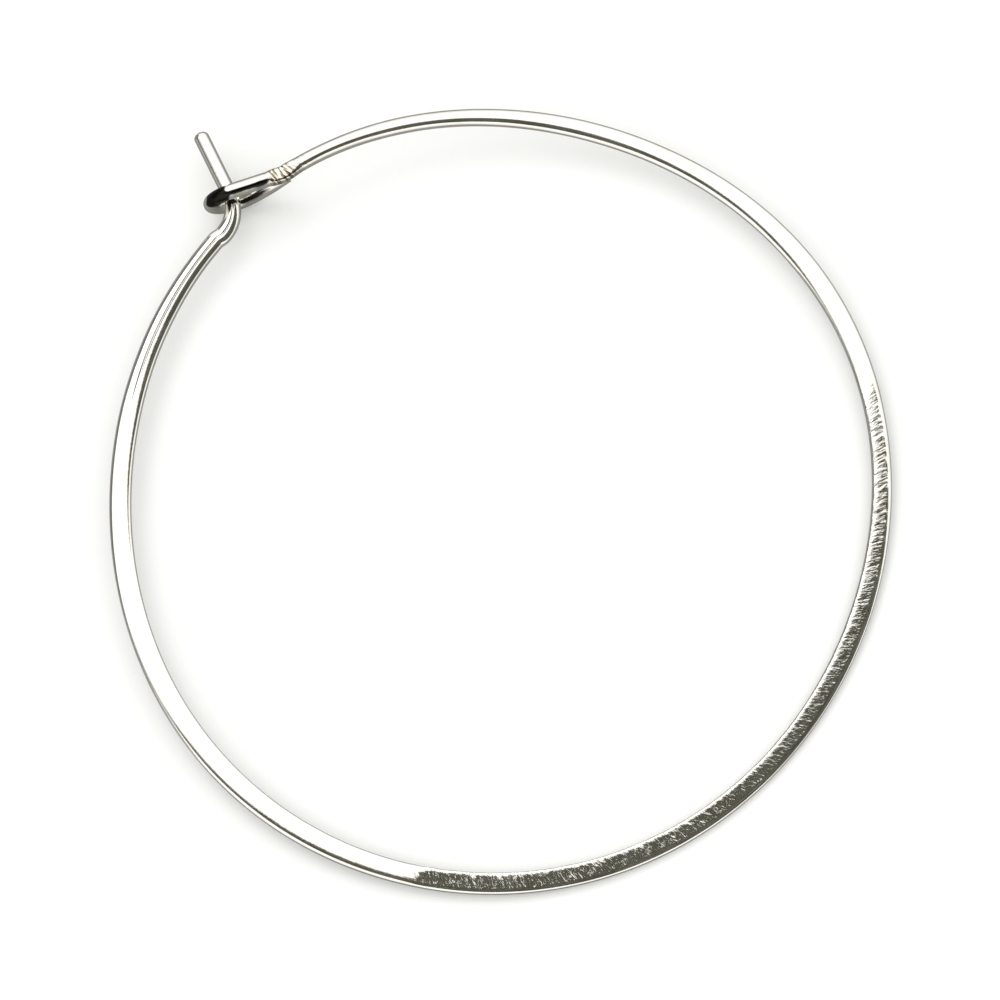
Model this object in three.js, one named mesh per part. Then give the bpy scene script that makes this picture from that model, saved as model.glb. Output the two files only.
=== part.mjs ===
// A hand-made wire hoop earring, lying at rest on a flat surface.
//
// The whole earring is one silver wire. Its tail is turned back on itself into a small eye,
// the wire then runs once round the hoop, and its other end bends outward through the eye
// as a short straight ear post. The hoop is hammered flat between the two ends.
//
// Units are millimetres. The hoop is laid out in its own plane first: x to the right, y up,
// z out of the plane, the origin at the middle of the hoop, and polar angles counted in
// degrees from +x towards +y. It is then leant on its eye and stood on z = 0.
import * as THREE from 'three';

// The wire
const WIRE = 0.8; // diameter of the round wire, before hammering
const SIDES = 12; // facets round the wire

// The hoop, formed by hand, so its radius swells a little in two, three and four places
const HOOP_RADIUS = 19.83; // mean radius to the middle of the wire
const SWELLS = [
  // at: polar angle of one of the places, by: swell there
  { places: 2, at: 91, by: 0.24 },
  { places: 3, at: 12, by: 0.17 },
  { places: 4, at: 34, by: 0.1 },
];

// The two arms are sprung apart at the clasp, one above the hoop's plane and one below
// meets: where the arm joins the clasp, flatBy: where it is back in the plane
const EYE_ARM = { meets: 124, rise: 0.8, flatBy: 62 };
const POST_ARM = { meets: 141, rise: -0.6, flatBy: 205 };

// The eye stands upright across the hoop's plane and hangs below the arm that carries it
const EYE_HEADING = 199; // way that the top strand runs out from the neck
const EYE_RADIUS = 1.3; // to the middle of the wire
const EYE_REACH = 2.7; // from the neck to the middle of the eye
const EYE_LEAVES = -120; // turn round the eye at which the tail leaves it
const EYE_TAIL = [
  // along: from the neck, drop: below the top strand
  { along: 1.45, drop: 2.04 },
  { along: 0.78, drop: 1.6 },
  { along: 0.12, drop: 1.22 },
  { along: -0.28, drop: 1.12 },
];

// The post passes through the eye, a little off its middle
const POST_HEADING = 116.7;
const POST_OFF_CENTRE = 0.2; // from the middle of the eye, along the top strand
const POST_BEND = 2.0; // radius of the bend, to the middle of the wire
const POST_LENGTH = 3.9; // past the eye
const POST_TIP = 0.3; // length that the end is rounded over

// Hammering widens the wire across the hoop and thins it through the hoop
const HAMMERED = [
  // at: polar angle, wide: across the hoop, thick: through it
  { at: 124, wide: WIRE, thick: WIRE },
  { at: 104, wide: 0.88, thick: 0.68 },
  { at: 70, wide: 1.04, thick: 0.56 },
  { at: 40, wide: 1.14, thick: 0.5 },
  { at: 4, wide: 0.98, thick: 0.56 },
  { at: -20, wide: 1.08, thick: 0.5 },
  { at: -60, wide: 1.04, thick: 0.52 },
  { at: -135, wide: 1.2, thick: 0.48 },
  { at: -190, wide: 1.12, thick: 0.54 },
  { at: -219, wide: 0.96, thick: 0.66 },
];

const HOOP_STEP = 3.5; // degrees between sections
const EYE_STEP = 15;
const BEND_STEP = 12;

const deg = THREE.MathUtils.degToRad;
const UP = new THREE.Vector3(0, 0, 1);

function heading(degrees) {
  return new THREE.Vector3(Math.cos(deg(degrees)), Math.sin(deg(degrees)), 0);
}

// Radius of the hand-formed hoop at a polar angle
function hoopRadius(angle) {
  const swell = ({ places, at, by }) => by * Math.cos(places * deg(angle - at));
  return SWELLS.reduce((radius, each) => radius + swell(each), HOOP_RADIUS);
}

// Height of the wire over the hoop's plane at a polar angle: level, but for the two arms
function hoopRise(angle) {
  const eyeArm = THREE.MathUtils.smoothstep(angle, EYE_ARM.flatBy, EYE_ARM.meets);
  const postArm = THREE.MathUtils.smoothstep(-angle, 360 - POST_ARM.flatBy, 360 - POST_ARM.meets);
  return EYE_ARM.rise * eyeArm + POST_ARM.rise * postArm;
}

function hoopPoint(angle) {
  return heading(angle).multiplyScalar(hoopRadius(angle)).setZ(hoopRise(angle));
}

// A size eased from one row's to another's
function easedSize(from, to, share) {
  const eased = THREE.MathUtils.smoothstep(share, 0, 1);
  return {
    wide: THREE.MathUtils.lerp(from.wide, to.wide, eased),
    thick: THREE.MathUtils.lerp(from.thick, to.thick, eased),
  };
}

// Width and thickness of the wire at a polar angle
const ROUND = HAMMERED[0];
const LAST_HAMMERED = HAMMERED[HAMMERED.length - 1];

function hammeredSize(angle) {
  const next = HAMMERED.findIndex((row) => row.at < angle);
  if (next === 0) return ROUND;
  if (next < 0) return LAST_HAMMERED;
  const [from, to] = [HAMMERED[next - 1], HAMMERED[next]];
  return easedSize(from, to, (from.at - angle) / (from.at - to.at));
}

// A section of the wire: its middle, the way across its width, its two sizes, and a scale
// that closes the rounded tip
function section(middle, across, size, scale = 1) {
  return { middle, across, wide: size.wide * scale, thick: size.thick * scale };
}

const neck = hoopPoint(EYE_ARM.meets);
const eyeOut = heading(EYE_HEADING);
const eyeAcross = heading(EYE_HEADING - 90);

// A point in the eye's upright plane
function eyePoint(along, drop) {
  return neck.clone().addScaledVector(eyeOut, along).addScaledVector(UP, -drop);
}

// From the cut end of the tail, under and round the eye, and back along its top strand
function eyeSections() {
  const points = [...EYE_TAIL].reverse().map((row) => eyePoint(row.along, row.drop));
  for (let turn = EYE_LEAVES; turn <= 90; turn += EYE_STEP) {
    const along = EYE_REACH + EYE_RADIUS * Math.cos(deg(turn));
    const drop = EYE_RADIUS * (1 - Math.sin(deg(turn)));
    points.push(eyePoint(along, drop));
  }
  points.push(eyePoint(EYE_REACH * 0.6, 0));
  points.push(eyePoint(EYE_REACH * 0.3, 0));
  return points.map((point) => section(point, eyeAcross, ROUND));
}

// Where the bend's arc touches both the post's line and the hoop
const postDirection = heading(POST_HEADING);
const postSide = heading(POST_HEADING + 90);
const eyeCrossing = eyePoint(EYE_REACH + POST_OFF_CENTRE, EYE_RADIUS).setZ(POST_ARM.rise);
const armRadius = hoopRadius(POST_ARM.meets);

function bendCentre() {
  const beside = eyeCrossing.clone().addScaledVector(postSide, POST_BEND).setZ(0);
  const lean = beside.dot(postDirection);
  const spare = beside.lengthSq() - (armRadius + POST_BEND) ** 2;
  return beside.addScaledVector(postDirection, Math.sqrt(lean * lean - spare) - lean);
}

const bend = bendCentre();
const bendFrom = THREE.MathUtils.radToDeg(Math.atan2(bend.y, bend.x));
const postStart = bend.clone().addScaledVector(postSide, -POST_BEND).setZ(POST_ARM.rise);

// Once round the hoop, clockwise, from the neck to where the bend begins
function hoopSections() {
  const last = bendFrom - 360;
  const count = Math.round((EYE_ARM.meets - last) / HOOP_STEP);
  return Array.from({ length: count }, (_, step) => {
    const angle = THREE.MathUtils.lerp(EYE_ARM.meets, last, step / count);
    return section(hoopPoint(angle), heading(angle), hammeredSize(angle));
  });
}

// The bend turns the wire outward, through the eye, where it is round again
function bendSections() {
  const turnFrom = bendFrom - 180;
  const turnTo = POST_HEADING - 90;
  const count = Math.round((turnTo - turnFrom) / BEND_STEP);
  return Array.from({ length: count }, (_, step) => {
    const turn = THREE.MathUtils.lerp(turnFrom, turnTo, step / count);
    const middle = bend.clone().addScaledVector(heading(turn), POST_BEND).setZ(POST_ARM.rise);
    return section(middle, heading(turn + 180), easedSize(LAST_HAMMERED, ROUND, step / count));
  });
}

// The straight post and its rounded tip
function postSections() {
  const length = POST_LENGTH - postStart.distanceTo(eyeCrossing);
  const straight = length - POST_TIP;
  const at = (distance) => postStart.clone().addScaledVector(postDirection, distance);
  const sections = [0, 1 / 3, 2 / 3, 1].map((share) => section(at(straight * share), postSide, ROUND));
  for (const turn of [30, 55, 75]) {
    const middle = at(straight + POST_TIP * Math.sin(deg(turn)));
    sections.push(section(middle, postSide, ROUND, Math.cos(deg(turn))));
  }
  return sections;
}

// Joins the sections into one closed skin. Each is a rounded strip: a circle of facets
// split down the middle and drawn apart by the extra width
function sweep(sections) {
  const middles = sections.map((part) => part.middle);
  const vertices = [];
  sections.forEach(({ middle, across, wide, thick }, index) => {
    const before = middles[Math.max(index - 1, 0)];
    const after = middles[Math.min(index + 1, middles.length - 1)];
    const along = after.clone().sub(before).normalize();
    const side = across.clone().addScaledVector(along, -across.dot(along)).normalize();
    const through = along.clone().cross(side);
    const round = thick / 2 / Math.cos(Math.PI / SIDES);
    const apart = (wide - thick) / 2;
    for (let facet = 0; facet < SIDES; facet += 1) {
      const angle = (2 * Math.PI * (facet + 0.5)) / SIDES;
      const sideways = round * Math.cos(angle) + apart * Math.sign(Math.cos(angle));
      vertices.push(middle.clone()
        .addScaledVector(side, sideways)
        .addScaledVector(through, round * Math.sin(angle)));
    }
  });

  const triangles = [];
  for (let ring = 0; ring < sections.length - 1; ring += 1) {
    for (let facet = 0; facet < SIDES; facet += 1) {
      const here = ring * SIDES + facet;
      const beside = ring * SIDES + ((facet + 1) % SIDES);
      triangles.push(here, beside, beside + SIDES);
      triangles.push(here, beside + SIDES, here + SIDES);
    }
  }
  const lastRing = (sections.length - 1) * SIDES;
  for (let facet = 1; facet < SIDES - 1; facet += 1) {
    triangles.push(0, facet + 1, facet);
    triangles.push(lastRing, lastRing + facet, lastRing + facet + 1);
  }

  const skin = new THREE.BufferGeometry().setFromPoints(vertices);
  skin.setIndex(triangles);
  return skin;
}

// The earring rests on the bottom of its eye and on the far side of the hoop
function layDown(skin) {
  const eyeBottom = eyePoint(EYE_REACH, 2 * EYE_RADIUS + ROUND.thick / 2);
  const farSide = THREE.MathUtils.radToDeg(Math.atan2(-eyeBottom.y, -eyeBottom.x));
  const farBottom = hoopPoint(farSide).addScaledVector(UP, -hammeredSize(farSide).thick / 2);
  const resting = farBottom.clone().sub(eyeBottom).normalize();
  const hinge = resting.clone().cross(UP).normalize();
  const level = resting.clone().setZ(0).normalize();
  const lean = resting.angleTo(level) * Math.sign(resting.z);
  skin.applyMatrix4(new THREE.Matrix4().makeRotationAxis(hinge, -lean));
  skin.computeBoundingBox();
  const { min, max } = skin.boundingBox;
  skin.translate(-(min.x + max.x) / 2, -(min.y + max.y) / 2, -min.z);
}

const wire = sweep([
  ...eyeSections(),
  ...hoopSections(),
  ...bendSections(),
  ...postSections(),
]);
layDown(wire);
wire.computeVertexNormals();

const silver = new THREE.MeshStandardMaterial({ color: 0xe6e3dc, metalness: 1, roughness: 0.16 });
const hoopWire = new THREE.Mesh(wire, silver);
hoopWire.name = 'hoop_wire';

const earring = new THREE.Group();
earring.name = 'hoop_earring';
earring.add(hoopWire);

export default earring;
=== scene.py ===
import math

import bpy
from mathutils import Matrix, Vector


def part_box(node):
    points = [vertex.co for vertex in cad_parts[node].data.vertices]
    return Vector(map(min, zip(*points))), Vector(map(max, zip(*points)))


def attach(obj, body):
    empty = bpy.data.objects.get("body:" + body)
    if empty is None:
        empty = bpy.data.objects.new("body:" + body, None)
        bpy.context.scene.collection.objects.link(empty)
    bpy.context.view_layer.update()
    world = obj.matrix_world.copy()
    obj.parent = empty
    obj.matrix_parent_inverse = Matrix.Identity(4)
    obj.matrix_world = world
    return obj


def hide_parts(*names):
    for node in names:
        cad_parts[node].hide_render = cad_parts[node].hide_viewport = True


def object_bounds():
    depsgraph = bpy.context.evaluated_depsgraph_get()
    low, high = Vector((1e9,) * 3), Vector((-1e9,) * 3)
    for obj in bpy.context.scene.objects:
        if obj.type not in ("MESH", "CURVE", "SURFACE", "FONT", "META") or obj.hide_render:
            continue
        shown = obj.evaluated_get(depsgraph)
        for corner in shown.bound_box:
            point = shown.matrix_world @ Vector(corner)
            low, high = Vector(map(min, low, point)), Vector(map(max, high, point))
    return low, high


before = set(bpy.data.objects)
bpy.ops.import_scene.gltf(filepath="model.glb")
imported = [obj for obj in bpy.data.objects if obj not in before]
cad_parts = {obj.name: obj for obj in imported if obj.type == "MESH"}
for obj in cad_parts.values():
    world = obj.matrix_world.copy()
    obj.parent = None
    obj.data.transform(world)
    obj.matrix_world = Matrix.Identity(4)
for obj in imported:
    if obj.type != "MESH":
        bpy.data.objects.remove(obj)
cad_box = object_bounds()
scene = bpy.context.scene


# ---------------------------------------------------------------- the hoop wire
# The earring is one length of round silver wire, bent by hand. Its tail is turned back into
# an upright eye, it runs once round the hoop, hammered flat on a steel block, and its far end
# turns outward through the eye as the ear post. Sizes are in mm, in the hoop's own plane.
WIRE = 0.8
HOOP_RADIUS = 19.83
SWELLS = [(2, 91, 0.24), (3, 12, 0.17), (4, 34, 0.1)]  # places, angle of one, swell there
EYE_ARM = {"meets": 124, "rise": 0.8, "flat_by": 62}
POST_ARM = {"meets": 141, "rise": -0.6, "flat_by": 205}
EYE_HEADING = 199
EYE_RADIUS = 1.3
EYE_REACH = 2.7  # from the neck to the middle of the eye
EYE_TAIL = [(1.45, 2.04), (0.78, 1.6), (0.12, 1.22), (-0.28, 1.12)]  # along, drop
POST_HEADING = 116.7
POST_OFF_CENTRE = 0.2
POST_BEND = 2.0
POST_LENGTH = 3.9
POST_TIP = 0.3
UP = Vector((0, 0, 1))

# Hammering: polar angle, width, thickness, squareness of the section (2 is an ellipse),
# outward fall of the upper face in degrees, and the weights of the hammer's ripple, of the
# crease that a tool left along the upper face, of the black and painted shade, and of the pliers'
# nicks
HAMMERED = [
    (124.0, 0.84, 0.70, 4.5, 0.0, 0.0, 0.0, 0.0, 1.0),
    (122.8, 0.84, 0.70, 4.5, 0.0, 0.0, 0.0, 0.0, 1.0),
    (121.6, 0.82, 0.76, 2.2, 0.0, 0.0, 0.0, 0.0, 0.3),
    (118, 0.82, 0.75, 2.0, 0.0, 0.02, 0.0, 0.0, 0.0),
    (104, 0.88, 0.68, 2.1, 0.0, 0.04, 0.0, 0.0, 0.0),
    (70, 1.04, 0.56, 2.2, 0.0, 0.04, 0.0, 0.0, 0.0),
    (40, 1.14, 0.50, 2.3, 0.0, 0.04, 0.0, 0.0, 0.0),
    (18, 1.04, 0.53, 2.4, 1.0, 0.12, 0.0, 0.0, 0.0),
    (12, 1.00, 0.55, 2.6, 10.0, 1.0, 0.0, 0.0, 0.0),
    (-20, 1.08, 0.50, 3.2, 13.0, 1.0, 0.0, 0.0, 0.0),
    (-45, 1.04, 0.52, 5.0, 12.0, 1.0, 0.0, 0.0, 0.0),
    (-75, 1.08, 0.50, 7.0, 9.5, 1.0, 0.0, 0.0, 0.0),
    (-99, 1.10, 0.50, 7.0, 9.0, 1.0, 0.0, 0.0, 0.0),
    (-102.5, 1.12, 0.50, 4.0, 0.0, 0.15, 0.0, 0.0, 0.0),
    (-135, 1.20, 0.48, 4.0, 0.0, 0.04, 0.0, 0.0, 0.0),
    (-190, 1.12, 0.54, 2.8, 0.0, 0.04, 0.0, 0.0, 0.0),
    # These last rows blacken the hoop all round where it comes up to the eye
    (-205, 1.04, 0.60, 2.4, 0.0, 0.04, 1.0, 0.0, 0.0),
    (-219, 0.96, 0.66, 2.2, 0.0, 0.04, 1.0, 0.0, 0.0),
]
NAMES = ("wide", "thick", "squareness", "fall", "ripple", "crease", "black_and_painted_shade", "nicks")
ROUND = (WIRE, WIRE, 2.0, 0.0, 0.0, 0.0, 0.0, 0.0)
PINCHED = HAMMERED[0][1:]
LAST_HAMMERED = HAMMERED[-1][1:]


def heading(degrees):
    return Vector((math.cos(math.radians(degrees)), math.sin(math.radians(degrees)), 0))


def smoothstep(value, low, high):
    share = min(max((value - low) / (high - low), 0), 1)
    return share * share * (3 - 2 * share)


def hoop_radius(angle):
    return HOOP_RADIUS + sum(
        by * math.cos(places * math.radians(angle - at)) for places, at, by in SWELLS
    )


def hoop_point(angle):
    eye_arm = smoothstep(angle, EYE_ARM["flat_by"], EYE_ARM["meets"])
    post_arm = smoothstep(-angle, 360 - POST_ARM["flat_by"], 360 - POST_ARM["meets"])
    rise = EYE_ARM["rise"] * eye_arm + POST_ARM["rise"] * post_arm
    return heading(angle) * hoop_radius(angle) + rise * UP


def eased(start, end, share):
    share = smoothstep(share, 0, 1)
    return tuple(a + (b - a) * share for a, b in zip(start, end))


def hammered_size(angle):
    for start, end in zip(HAMMERED, HAMMERED[1:]):
        if end[0] < angle <= start[0]:
            return eased(start[1:], end[1:], (start[0] - angle) / (start[0] - end[0]))
    return PINCHED if angle >= HAMMERED[0][0] else LAST_HAMMERED


def as_drawn(black_and_painted_shade=0.0, nicks=0.0, across=WIRE):
    return (across, across) + ROUND[2:-2] + (black_and_painted_shade, nicks)


neck = hoop_point(EYE_ARM["meets"])
eye_out = heading(EYE_HEADING)
eye_across = heading(EYE_HEADING - 90)


def eye_point(along, drop):
    return neck + eye_out * along - UP * drop


# From the tail's end to the neck: place, way across the width, sizes
stations = []
# Painted shade: this weight blackens only a band along the shaded side of the eye's upper arm, its
# top and its lower bend
ARM_PAINTED_SHADE = 0.3  # enough to darken the shaded side of the eye's upper arm
# The eye's outer shoulder is blackened nearly all round, with the painted shade band at its edge
SHOULDER_BLACK = 0.72  # enough to blacken nearly all of the eye's outer shoulder
# Painted shade: a black band along the shaded side of the tail where it nears the eye
TAIL_PAINTED_SHADE = (0.0, 0.0, 0.2, 0.3)
TAIL_FILED = (0.42, 0.58, 0.74, WIRE)

for (along, drop), dark, filed in zip(reversed(EYE_TAIL), TAIL_PAINTED_SHADE, TAIL_FILED):
    stations.append((eye_point(along, drop), eye_across, as_drawn(dark, 0.0, filed)))
for turn in range(-120, 91, 10):  # 0 is the eye's far side and 90 its top
    along = EYE_REACH + EYE_RADIUS * math.cos(math.radians(turn))
    drop = EYE_RADIUS * (1 - math.sin(math.radians(turn)))
    dark = SHOULDER_BLACK * smoothstep(turn, 12, 42) * smoothstep(-turn, -84, -68)
    under_arm = ARM_PAINTED_SHADE * (smoothstep(turn, 60, 70) + smoothstep(-turn, 80, 110))
    stations.append((eye_point(along, drop), eye_across, as_drawn(max(dark, under_arm))))
for share, size in (
    (0.9, as_drawn(ARM_PAINTED_SHADE)),
    (0.6, as_drawn(ARM_PAINTED_SHADE)),
    (0.4, as_drawn(ARM_PAINTED_SHADE)),
    (0.3, as_drawn(0.2, 0.5)),
    (0.16, PINCHED),
):
    stations.append((eye_point(EYE_REACH * share, 0), eye_across, size))

# The bend that carries the hoop outward into the post, where it meets the hoop's own curve
post_direction = heading(POST_HEADING)
post_side = heading(POST_HEADING + 90)
eye_crossing = eye_point(EYE_REACH + POST_OFF_CENTRE, EYE_RADIUS)
eye_crossing.z = POST_ARM["rise"]
beside = eye_crossing + post_side * POST_BEND
beside.z = 0
lean = beside.dot(post_direction)
spare = beside.length_squared - (hoop_radius(POST_ARM["meets"]) + POST_BEND) ** 2
bend = beside + post_direction * (math.sqrt(lean * lean - spare) - lean)
bend_from = math.degrees(math.atan2(bend.y, bend.x))
post_start = bend - post_side * POST_BEND
post_start.z = POST_ARM["rise"]

# Round the hoop from the neck to the bend
HOOP_STEP, BEND_STEP = 0.9, 12  # degrees between stations
last = bend_from - 360
count = round((EYE_ARM["meets"] - last) / HOOP_STEP)
for step in range(count):
    angle = EYE_ARM["meets"] + (last - EYE_ARM["meets"]) * step / count
    stations.append((hoop_point(angle), heading(angle), hammered_size(angle)))

# Round the bend and out along the post to its rounded tip
turn_from, turn_to = bend_from - 180, POST_HEADING - 90
count = round((turn_to - turn_from) / BEND_STEP)
for step in range(count):
    turn = turn_from + (turn_to - turn_from) * step / count
    place = bend + heading(turn) * POST_BEND
    place.z = POST_ARM["rise"]
    size = eased(LAST_HAMMERED, ROUND, step / count)
    stations.append((place, heading(turn + 180), size))

straight = POST_LENGTH - (post_start - eye_crossing).length - POST_TIP
for share in (0, 0.25, 0.5, 0.75, 0.92, 1):
    stations.append((post_start + post_direction * straight * share, post_side, ROUND))
for turn in (15, 30, 45, 60, 72, 82):
    reach = straight + POST_TIP * math.sin(math.radians(turn))
    scale = math.cos(math.radians(turn))
    tip = (WIRE * scale, WIRE * scale) + ROUND[2:]
    stations.append((post_start + post_direction * reach, post_side, tip))

# The earring lies on the bottom of its eye and on the far side of the hoop
eye_bottom = eye_point(EYE_REACH, 2 * EYE_RADIUS + WIRE / 2)
far_side = math.degrees(math.atan2(-eye_bottom.y, -eye_bottom.x))
far_bottom = hoop_point(far_side) - UP * hammered_size(far_side)[1] / 2
resting = (far_bottom - eye_bottom).normalized()
hinge = resting.cross(UP).normalized()
tilt = resting.angle(Vector((resting.x, resting.y, 0))) * math.copysign(1, resting.z)
lay = Matrix.Rotation(-tilt, 3, hinge)
MM = 0.001

route = bpy.data.meshes.new("wire_route")
route.from_pydata(
    [lay @ place * MM for place, _, _ in stations],
    [(i, i + 1) for i in range(len(stations) - 1)],
    [],
)
across = route.attributes.new("across", "FLOAT_VECTOR", "POINT")
across.data.foreach_set("vector", [c for _, side, _ in stations for c in lay @ side])
UNITS = (MM, MM, 1, math.radians(1), 1, 1, 1, 1)
for column, (name, unit) in enumerate(zip(NAMES, UNITS)):
    values = route.attributes.new(name, "FLOAT", "POINT")
    values.data.foreach_set("value", [size[column] * unit for _, _, size in stations])

# The hammered wire, swept along its route: the flats keep the hammer's fine ripple, the
# sides bulge round, and the ends stay as drawn
tree = bpy.data.node_groups.new("hammered_wire", "GeometryNodeTree")
tree.is_modifier = True


def socket(name, kind, direction="INPUT", value=None):
    made = tree.interface.new_socket(name=name, in_out=direction, socket_type=kind)
    if value is not None:
        made.default_value = value
    return made


socket("Geometry", "NodeSocketGeometry")
socket("Geometry", "NodeSocketGeometry", "OUTPUT")
sides_in = socket("Facets round the wire", "NodeSocketInt", value=12)
step_in = socket("Length between rings", "NodeSocketFloat", value=0.001)
grain_in = socket("Ripples per mm", "NodeSocketFloat", value=3.0)
depth_in = socket("Depth of ripple", "NodeSocketFloat", value=0.0)
seed_in = socket("Seed", "NodeSocketInt", value=1)
finish_in = socket("Finish", "NodeSocketMaterial")


def node(kind, inputs=(), **settings):
    made = tree.nodes.new(kind)
    for name, value in settings.items():
        setattr(made, name, value)
    for key, value in dict(inputs).items():
        if isinstance(value, bpy.types.NodeSocket):
            tree.links.new(value, made.inputs[key])
        else:
            made.inputs[key].default_value = value
    return made


def maths(operation, *values):
    return node("ShaderNodeMath", enumerate(values), operation=operation).outputs[0]


def vectors(operation, *values, **named):
    inputs = dict(enumerate(values)) | named
    made = node("ShaderNodeVectorMath", inputs, operation=operation)
    single = operation in ("DOT_PRODUCT", "LENGTH")
    return made.outputs["Value" if single else "Vector"]


def attribute(name, kind="FLOAT"):
    made = node("GeometryNodeInputNamedAttribute", {"Name": name}, data_type=kind)
    return made.outputs["Attribute"]


group_in = node("NodeGroupInput")
path = node("GeometryNodeMeshToCurve", {0: group_in.outputs["Geometry"]})
path = node("GeometryNodeCurveSplineType", {0: path.outputs[0]}, spline_type="CATMULL_ROM")
path = node("GeometryNodeSetSplineResolution", {0: path.outputs[0], "Resolution": 24})
path = node(
    "GeometryNodeResampleCurve",
    {0: path.outputs[0], "Length": group_in.outputs["Length between rings"]},
    mode="LENGTH",
)
tangent = node("GeometryNodeInputTangent").outputs[0]
parameter = node("GeometryNodeSplineParameter").outputs["Length"]
position = node("GeometryNodeInputPosition").outputs[0]


def stored(geometry, name, value, kind):
    return node(
        "GeometryNodeStoreNamedAttribute",
        {"Geometry": geometry, "Name": name, "Value": value},
        data_type=kind,
        domain="POINT",
    ).outputs[0]


line = stored(path.outputs[0], "middle", position, "FLOAT_VECTOR")
line = stored(line, "ahead", tangent, "FLOAT_VECTOR")
line = stored(line, "along", parameter, "FLOAT")

profile = node(
    "GeometryNodeCurvePrimitiveCircle",
    {"Resolution": group_in.outputs["Facets round the wire"], "Radius": WIRE / 2 * MM},
)
index = node("GeometryNodeInputIndex").outputs[0]
turn = maths("DIVIDE", index, group_in.outputs["Facets round the wire"])
turn = maths("MULTIPLY", turn, math.tau)
ring = stored(profile.outputs["Curve"], "round", turn, "FLOAT")
tube = node(
    "GeometryNodeCurveToMesh", {"Curve": line, "Profile Curve": ring, "Fill Caps": True}
).outputs[0]

# Each ring is a rounded strip: the corners of an ellipse pushed out by the squareness
# on the inner side, and by only part of it on the outer side
turn = attribute("round")
cosine, sine = maths("COSINE", turn), maths("SINE", turn)
ELLIPSE = 2.0
ROUNDER_OUTSIDE = 0.5  # share of the squareness that the outer side lacks
outer = maths("MULTIPLY", maths("GREATER_THAN", cosine, 0.0), ROUNDER_OUTSIDE)
squarer = maths("SUBTRACT", attribute("squareness"), ELLIPSE)
power = maths("SUBTRACT", attribute("squareness"), maths("MULTIPLY", squarer, outer))
corner = maths(
    "POWER",
    maths(
        "ADD",
        maths("POWER", maths("ABSOLUTE", cosine), power),
        maths("POWER", maths("ABSOLUTE", sine), power),
    ),
    maths("DIVIDE", -1.0, power),
)
half_wide = maths("MULTIPLY", attribute("wide"), 0.5)
half_thick = maths("MULTIPLY", attribute("thick"), 0.5)
sideways = maths("MULTIPLY", maths("MULTIPLY", half_wide, corner), cosine)
upper = maths("GREATER_THAN", sine, 0.0)
falling = maths("MULTIPLY", maths("TANGENT", attribute("fall")), sideways)
height = maths("SUBTRACT", half_thick, maths("MULTIPLY", falling, upper))
upward = maths("MULTIPLY", maths("MULTIPLY", height, corner), sine)

ahead = vectors("NORMALIZE", attribute("ahead", "FLOAT_VECTOR"))
width_way = attribute("across", "FLOAT_VECTOR")
slip = vectors("DOT_PRODUCT", ahead, width_way)
square_on = vectors("SUBTRACT", width_way, vectors("SCALE", ahead, Scale=slip))
side_way = vectors("NORMALIZE", square_on)
up_way = vectors("CROSS_PRODUCT", ahead, side_way)
placed = vectors(
    "ADD",
    attribute("middle", "FLOAT_VECTOR"),
    vectors(
        "ADD",
        vectors("SCALE", side_way, Scale=sideways),
        vectors("SCALE", up_way, Scale=upward),
    ),
)
tube = node("GeometryNodeSetPosition", {"Geometry": tube, "Position": placed}).outputs[0]

# The hammer's ripple, laid out along and across the wire
tube = stored(tube, "sideways", sideways, "FLOAT")
scale = maths("MULTIPLY", group_in.outputs["Ripples per mm"], 1 / MM)
sheet = node(
    "ShaderNodeCombineXYZ",
    {
        0: maths("MULTIPLY", attribute("along"), scale),
        1: maths("MULTIPLY", attribute("sideways"), scale),
        2: maths("MULTIPLY", upward, scale),
    },
).outputs[0]
UNEVEN_SCALE, UNEVEN_BY = 0.7, 0.9  # how far the blows stray from an even spacing
uneven = node(
    "ShaderNodeTexNoise",
    {"Vector": sheet, "W": group_in.outputs["Seed"], "Scale": UNEVEN_SCALE, "Detail": 2.0},
    noise_dimensions="4D",
).outputs["Color"]
bent_sheet = vectors("ADD", sheet, vectors("SCALE", uneven, Scale=UNEVEN_BY))
blows = node(
    "ShaderNodeTexVoronoi",
    {"Vector": bent_sheet, "W": group_in.outputs["Seed"], "Scale": 1.0, "Randomness": 1.0},
    voronoi_dimensions="4D",
    feature="F1",
).outputs["Distance"]
grain = maths("MULTIPLY", blows, blows)
USUAL_GRAIN = 0.4  # taken off, so that the blows don't swell the wire
flat_share = maths("POWER", maths("ABSOLUTE", sine), 0.5)
WORN_FROM, WORN_TO = 0.42, 0.6  # shares of half the width: the outer edge is left smooth
on_face = node(
    "ShaderNodeMapRange",
    {
        "Value": maths("DIVIDE", sideways, half_wide),
        "From Min": WORN_TO,
        "From Max": WORN_FROM,
    },
    interpolation_type="SMOOTHSTEP",
).outputs[0]
tube = stored(tube, "ripple", maths("MULTIPLY", attribute("ripple"), on_face), "FLOAT")
weight = maths("MULTIPLY", attribute("ripple"), flat_share)
lift = maths("SUBTRACT", grain, USUAL_GRAIN)
lift = maths("MULTIPLY", lift, group_in.outputs["Depth of ripple"])
lift = maths("MULTIPLY", lift, weight)
normal = node("GeometryNodeInputNormal").outputs[0]
tube = node(
    "GeometryNodeSetPosition",
    {"Geometry": tube, "Offset": vectors("SCALE", normal, Scale=lift)},
).outputs[0]
tube = node("GeometryNodeSetShadeSmooth", {"Geometry": tube}).outputs[0]
tube = node("GeometryNodeRealizeInstances", {"Geometry": tube}).outputs[0]
tube = node(
    "GeometryNodeSetMaterial", {"Geometry": tube, "Material": group_in.outputs["Finish"]}
).outputs[0]
node("NodeGroupOutput", {0: tube})
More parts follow.
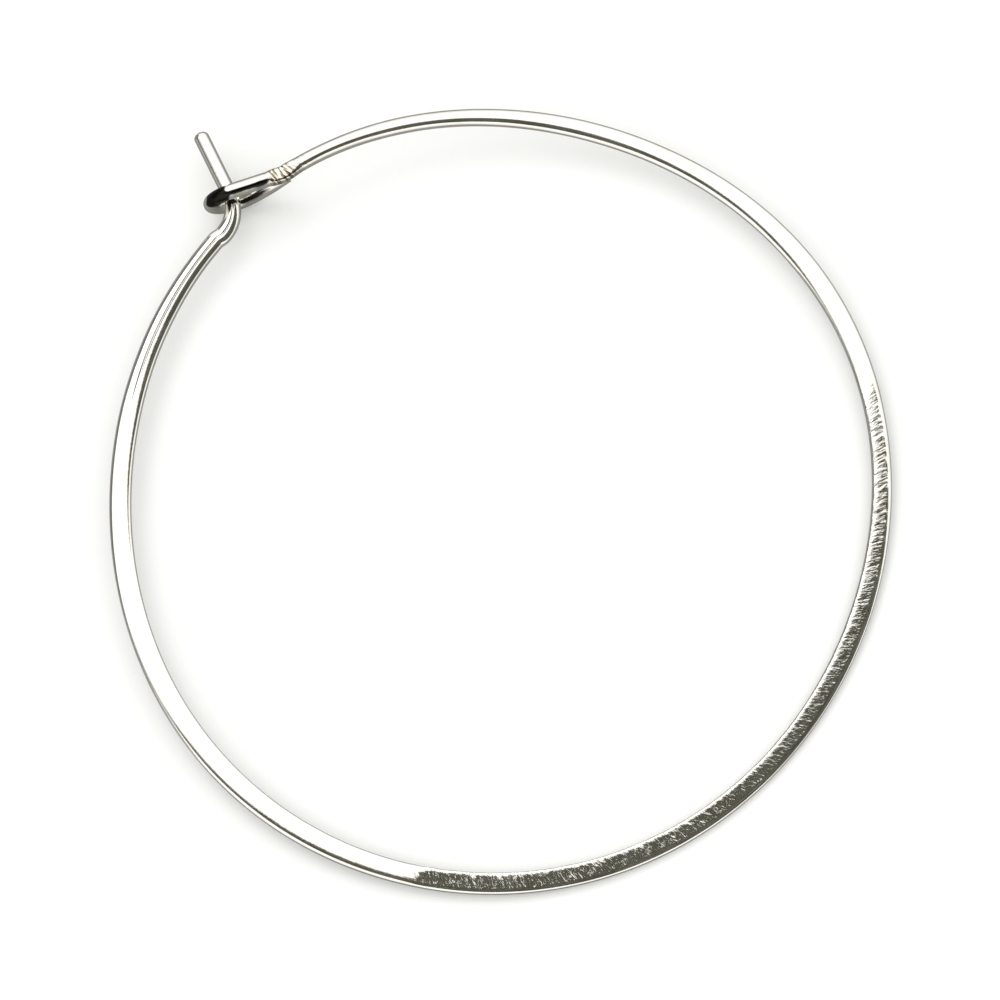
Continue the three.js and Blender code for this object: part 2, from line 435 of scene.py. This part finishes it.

# Polished silver: bright and slightly warm, with the hammer's fine slanting strokes, the
# die's lines along the drawn ends, brown in the pliers' nicks, black on the eye and where the
# hoop comes up to it, and painted shade blackening a band along one side of the eye's wire
DULL_SILVER = (0.90, 0.87, 0.79, 1)
BRIGHT_SILVER = (0.965, 0.95, 0.90, 1)
NICK_BROWN = (0.24, 0.19, 0.09, 1)
BLACK_AND_PAINTED_SHADE = (0.022, 0.020, 0.017, 1)
POLISHED, HAZY = 0.06, 0.16  # roughness
BLACKENED_ROUGHER_BY = 0.12
RELIEF = 0.03 * MM  # the heights below are shares of it
STROKE_HEIGHT, DIE_LINE_HEIGHT, NICK_HEIGHT, CREASE_DEPTH = 2.0, 0.02, 1.5, 1.7
LEAST_RIPPLE = 0.02  # what the polish leaves of the strokes where the wire wasn't hammered
CREASE_AT, CREASE_WIDTH = 0.0, 0.05 * MM
# Painted shade: a band along one side of the wire that the black weight darkens first
SHADED_AT, SHADED_WIDTH, SHADED_WEIGHT = -0.17 * MM, 0.14 * MM, 1.6
CLOUD_WEIGHT = 1.8
silver = bpy.data.materials.new("polished_silver")
silver.use_nodes = True
shader = silver.node_tree.nodes["Principled BSDF"]
shader.inputs["Metallic"].default_value = 1.0
links = silver.node_tree.links


def shade_node(kind, inputs=(), **settings):
    made = silver.node_tree.nodes.new(kind)
    for name, value in settings.items():
        setattr(made, name, value)
    for key, value in dict(inputs).items():
        if isinstance(value, bpy.types.NodeSocket):
            links.new(value, made.inputs[key])
        else:
            made.inputs[key].default_value = value
    return made


def shade_maths(operation, *values):
    return shade_node("ShaderNodeMath", enumerate(values), operation=operation).outputs[0]


def wire_value(name):
    return shade_node("ShaderNodeAttribute", attribute_name=name).outputs["Fac"]


def streaks(per_mm_along, per_mm_across, slant, detail):
    """Noise in millimetres along and across the wire, its grain leaning by the slant."""
    leaning = shade_maths("MULTIPLY", wire_value("sideways"), slant)
    ahead = shade_maths("ADD", wire_value("along"), leaning)
    flow = shade_node(
        "ShaderNodeCombineXYZ",
        {
            0: shade_maths("MULTIPLY", ahead, per_mm_along / MM),
            1: shade_maths("MULTIPLY", wire_value("sideways"), per_mm_across / MM),
        },
    ).outputs[0]
    noise = {"Vector": flow, "Scale": 1.0, "Detail": detail}
    return shade_node("ShaderNodeTexNoise", noise).outputs[0]


def blended(share, first, second):
    sockets = {0: share, 6: first, 7: second}
    return shade_node("ShaderNodeMix", sockets, data_type="RGBA").outputs[2]


CLOUDS_PER_M = 900.0
on_wire = shade_node("ShaderNodeTexCoord").outputs["Object"]
cloudy = {"Vector": on_wire, "Scale": CLOUDS_PER_M, "Detail": 3.0}
clouds = shade_node("ShaderNodeTexNoise", cloudy).outputs[0]
tone = shade_node("ShaderNodeValToRGB", {"Fac": clouds})
tone.color_ramp.elements[0].position = 0.3
tone.color_ramp.elements[0].color = DULL_SILVER
tone.color_ramp.elements[1].position = 0.65
tone.color_ramp.elements[1].color = BRIGHT_SILVER

strokes = streaks(per_mm_along=5.2, per_mm_across=1.7, slant=0.5, detail=3.0)
die_lines = streaks(per_mm_along=0.35, per_mm_across=26.0, slant=0.0, detail=2.0)
nicks = streaks(per_mm_along=7.0, per_mm_across=1.1, slant=0.35, detail=1.0)
either_way = shade_maths("SUBTRACT", strokes, 0.5)
struck = shade_maths("MAXIMUM", wire_value("ripple"), LEAST_RIPPLE)
hammer = shade_maths("MULTIPLY", shade_maths("MULTIPLY", either_way, struck), STROKE_HEIGHT)
drawn = shade_maths("MULTIPLY", die_lines, DIE_LINE_HEIGHT)
bitten = shade_maths("MULTIPLY", shade_maths("MULTIPLY", nicks, wire_value("nicks")), NICK_HEIGHT)
relief = shade_maths("ADD", shade_maths("ADD", hammer, drawn), bitten)


def bell(middle, width):
    """One in a line along the wire, fading to nothing on both sides of it."""
    off = shade_maths("DIVIDE", shade_maths("SUBTRACT", wire_value("sideways"), middle), width)
    return shade_maths("EXPONENT", shade_maths("MULTIPLY", shade_maths("MULTIPLY", off, off), -1.0))


crease = shade_maths("MULTIPLY", bell(CREASE_AT, CREASE_WIDTH), wire_value("crease"))
relief = shade_maths("SUBTRACT", relief, shade_maths("MULTIPLY", crease, CREASE_DEPTH))
bump = shade_node("ShaderNodeBump", {"Strength": 1.0, "Distance": RELIEF, "Height": relief})
links.new(bump.outputs[0], shader.inputs["Normal"])

deep_nicks = shade_node("ShaderNodeMapRange", {"Value": nicks, "From Min": 0.56, "From Max": 0.42})
browned = shade_maths("MULTIPLY", deep_nicks.outputs[0], wire_value("nicks"))
# Painted shade: where the black weight is low only the band along one side goes black; where it is
# high the whole wire does
shaded = shade_maths("MULTIPLY", bell(SHADED_AT, SHADED_WIDTH), SHADED_WEIGHT)
gain = shade_maths("ADD", shaded, shade_maths("MULTIPLY", clouds, CLOUD_WEIGHT))
ragged = shade_maths("MULTIPLY", wire_value("black_and_painted_shade"), shade_maths("ADD", gain, 0.1))
blackened = shade_node("ShaderNodeMapRange", {"Value": ragged, "From Min": 0.40, "From Max": 0.62})
blackened = blackened.outputs[0]
colour = blended(browned, tone.outputs["Color"], NICK_BROWN)
colour = blended(blackened, colour, BLACK_AND_PAINTED_SHADE)
links.new(colour, shader.inputs["Base Color"])
rough = shade_node("ShaderNodeMapRange", {"Value": clouds, "To Min": POLISHED, "To Max": HAZY})
rough = shade_maths("ADD", rough.outputs[0], shade_maths("MULTIPLY", blackened, BLACKENED_ROUGHER_BY))
links.new(rough, shader.inputs["Roughness"])

wire = bpy.data.objects.new("silver_wire", route)
scene.collection.objects.link(wire)
modifier = wire.modifiers.new("hammered", "NODES")
modifier.node_group = tree
modifier[sides_in.identifier] = 48
modifier[step_in.identifier] = 0.075 * MM
modifier[grain_in.identifier] = 2.6
modifier[depth_in.identifier] = 0.03 * MM
modifier[seed_in.identifier] = 7
modifier[finish_in.identifier] = silver
depsgraph = bpy.context.evaluated_depsgraph_get()
solid = bpy.data.meshes.new_from_object(wire.evaluated_get(depsgraph))
wire.modifiers.remove(modifier)
wire.data = solid
solid.name = "silver_wire"
for spent in ("middle", "ahead", "across", "round", "wide", "thick", "squareness", "fall"):
    solid.attributes.remove(solid.attributes[spent])

low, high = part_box("hoop_wire")
points = [v.co for v in solid.vertices]
own_low = Vector(min(p[i] for p in points) for i in range(3))
own_high = Vector(max(p[i] for p in points) for i in range(3))
shift = (low + high) / 2 - (own_low + own_high) / 2
shift.z = low.z - own_low.z
solid.transform(Matrix.Translation(shift))

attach(wire, "root")
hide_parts("hoop_wire")


# ---------------------------------------------------------------- the table
# A matt white sheet, wide enough to fill every view.
SHEET_RADIUS = 2.6
SHEET_WHITE = (0.9, 0.9, 0.895, 1)
# Painted shade: the sheet turns grey only in the silver's reflections, standing in for its shade
# beside the wire
SHEET_SHADE_IN_SILVER = (0.25, 0.25, 0.24, 1)  # greyer there, to outline the wire on white
bpy.ops.mesh.primitive_circle_add(vertices=96, radius=SHEET_RADIUS, fill_type="NGON")
table = bpy.context.object
table.name = "white_sheet"
paper = bpy.data.materials.new("matt_white_sheet")
paper.use_nodes = True
paper_shader = paper.node_tree.nodes["Principled BSDF"]
paper_shader.inputs["Roughness"].default_value = 0.9
paper_shader.inputs["Specular IOR Level"].default_value = 0.1
# Painted shade: grey for glossy rays, white for everything else
seen_in_silver = paper.node_tree.nodes.new("ShaderNodeLightPath").outputs["Is Glossy Ray"]
paper_tone = paper.node_tree.nodes.new("ShaderNodeValToRGB")
paper_tone.color_ramp.elements[0].color = SHEET_WHITE
paper_tone.color_ramp.elements[1].color = SHEET_SHADE_IN_SILVER
paper.node_tree.links.new(seen_in_silver, paper_tone.inputs["Fac"])
paper.node_tree.links.new(paper_tone.outputs["Color"], paper_shader.inputs["Base Color"])
table.data.materials.append(paper)


# ---------------------------------------------------------------- the camera
# Looks almost straight down on the hoop, leaning a little towards its lower edge.
CAMERA_LEAN = 12
CAMERA_SIDE = 280
CAMERA_DISTANCE = 0.42
CAMERA_LENS, CAMERA_SENSOR = 295, 36
to_camera = lay @ (
    heading(CAMERA_SIDE) * math.sin(math.radians(CAMERA_LEAN))
    + UP * math.cos(math.radians(CAMERA_LEAN))
)
right = (Vector((1, 0, 0)) - to_camera * to_camera.x).normalized()
above = to_camera.cross(right)
camera = bpy.data.objects.new("camera", bpy.data.cameras.new("camera"))
scene.collection.objects.link(camera)
scene.camera = camera
camera.data.sensor_width = CAMERA_SENSOR
camera.data.lens = CAMERA_LENS
camera.data.clip_start = 0.01
target = (cad_box[0] + cad_box[1]) / 2
target.z = 0.001
turned = Matrix((right, above, to_camera)).transposed().to_4x4()
camera.matrix_world = Matrix.Translation(target + to_camera * CAMERA_DISTANCE) @ turned


# ---------------------------------------------------------------- the light
# A white room with one large soft window high on the left. A dark cloth hangs round the
# camera and a grey screen low on the left, and the silver shows them as its dark streaks.
ROOM_BRIGHTNESS = 1.06
ROOM_LOW, ROOM_HIGH = (0.62, 0.62, 0.61, 1), (1.0, 1.0, 0.985, 1)
WINDOW_PLACE = (-0.5, 0.7, 1.2)
WINDOW_SIDE = 0.7
WINDOW_POWER = 2.2
world = bpy.data.worlds.new("white_room")
scene.world = world
world.use_nodes = True
sky = world.node_tree
way = sky.nodes.new("ShaderNodeTexCoord").outputs["Generated"]
split = sky.nodes.new("ShaderNodeSeparateXYZ")
sky.links.new(way, split.inputs[0])
ramp = sky.nodes.new("ShaderNodeValToRGB")
sky.links.new(split.outputs["Z"], ramp.inputs["Fac"])
ramp.color_ramp.elements[0].position = 0.0
ramp.color_ramp.elements[0].color = ROOM_LOW
ramp.color_ramp.elements[1].position = 0.6
ramp.color_ramp.elements[1].color = ROOM_HIGH
sky.links.new(ramp.outputs["Color"], sky.nodes["Background"].inputs["Color"])
sky.nodes["Background"].inputs["Strength"].default_value = ROOM_BRIGHTNESS

window = bpy.data.objects.new("soft_window", bpy.data.lights.new("soft_window", "AREA"))
window.data.shape = "SQUARE"
window.data.size = WINDOW_SIDE
window.data.energy = WINDOW_POWER
window.location = WINDOW_PLACE
window.rotation_euler = (-window.location).to_track_quat("-Z", "Y").to_euler()
scene.collection.objects.link(window)

# The dark arc round the camera, told from where the flat of the wire mirrors the camera:
# direction, and how many degrees away the arc begins and ends there
CLOTH_DISTANCE = 0.8
FOLDS_PER_M = 20.0
CLOTH = [
    (193, 48, 54),
    (200, 46, 56),
    (207, 42, 52),
    (213, 30, 46),
    (221, 21, 42),
    (230, 18, 38),
    (247, 13, 42),
    (262, 12.5, 48),
    (280, 12.5, 54),
    (300, 12.5, 56),
    (312, 13.5, 64),
    (324, 14.8, 72),
    (338, 12, 70),
    (350, 10, 62),
    (358, 14, 56),
    (368, 22, 48),
    (377, 30, 40),
]
# A grey screen low on the left, told the same way
SCREEN = [
    (134, 54, 84),
    (150, 50, 86),
    (165, 50, 88),
    (180, 52, 88),
    (195, 60, 86),
    (212, 67, 84),
]
flat = lay @ UP
mirrored = (flat * 2 * flat.dot(to_camera) - to_camera).normalized()


def hung_point(direction, away):
    outward = heading(direction)
    outward = (outward - mirrored * outward.dot(mirrored)).normalized()
    away = math.radians(away)
    return (mirrored * math.cos(away) + outward * math.sin(away)) * CLOTH_DISTANCE


def hung(name, edges, darkest, palest):
    """Hangs a strip with these edges that only the silver's reflections show."""
    count = len(edges)
    mesh = bpy.data.meshes.new(name)
    mesh.from_pydata(
        [hung_point(direction, near) for direction, near, _ in edges]
        + [hung_point(direction, far) for direction, _, far in edges],
        [],
        [(i, i + 1, i + 1 + count, i + count) for i in range(count - 1)],
    )
    made = bpy.data.objects.new(name, mesh)
    scene.collection.objects.link(made)
    dull = bpy.data.materials.new(name)
    dull.use_nodes = True
    nodes, cloth_links = dull.node_tree.nodes, dull.node_tree.links
    dull_shader = nodes["Principled BSDF"]
    dull_shader.inputs["Base Color"].default_value = (0.0, 0.0, 0.0, 1)
    dull_shader.inputs["Specular IOR Level"].default_value = 0.0
    folds = nodes.new("ShaderNodeTexNoise")
    folds.inputs["Scale"].default_value = FOLDS_PER_M
    cloth_links.new(nodes.new("ShaderNodeTexCoord").outputs["Object"], folds.inputs["Vector"])
    shades = nodes.new("ShaderNodeValToRGB")
    shades.color_ramp.elements[0].position = 0.38
    shades.color_ramp.elements[0].color = darkest
    shades.color_ramp.elements[1].position = 0.72
    shades.color_ramp.elements[1].color = palest
    cloth_links.new(folds.outputs[0], shades.inputs["Fac"])
    cloth_links.new(shades.outputs["Color"], dull_shader.inputs["Emission Color"])
    dull_shader.inputs["Emission Strength"].default_value = 1.0
    mesh.materials.append(dull)
    made.visible_camera = False
    made.visible_diffuse = False
    made.visible_shadow = False


hung("black_cloth", CLOTH, (0.006, 0.006, 0.004, 1), (0.20, 0.20, 0.16, 1))
hung("grey_screen", SCREEN, (0.10, 0.10, 0.09, 1), (0.22, 0.22, 0.20, 1))

scene.view_settings.view_transform = "Standard"
scene.view_settings.exposure = 0.2
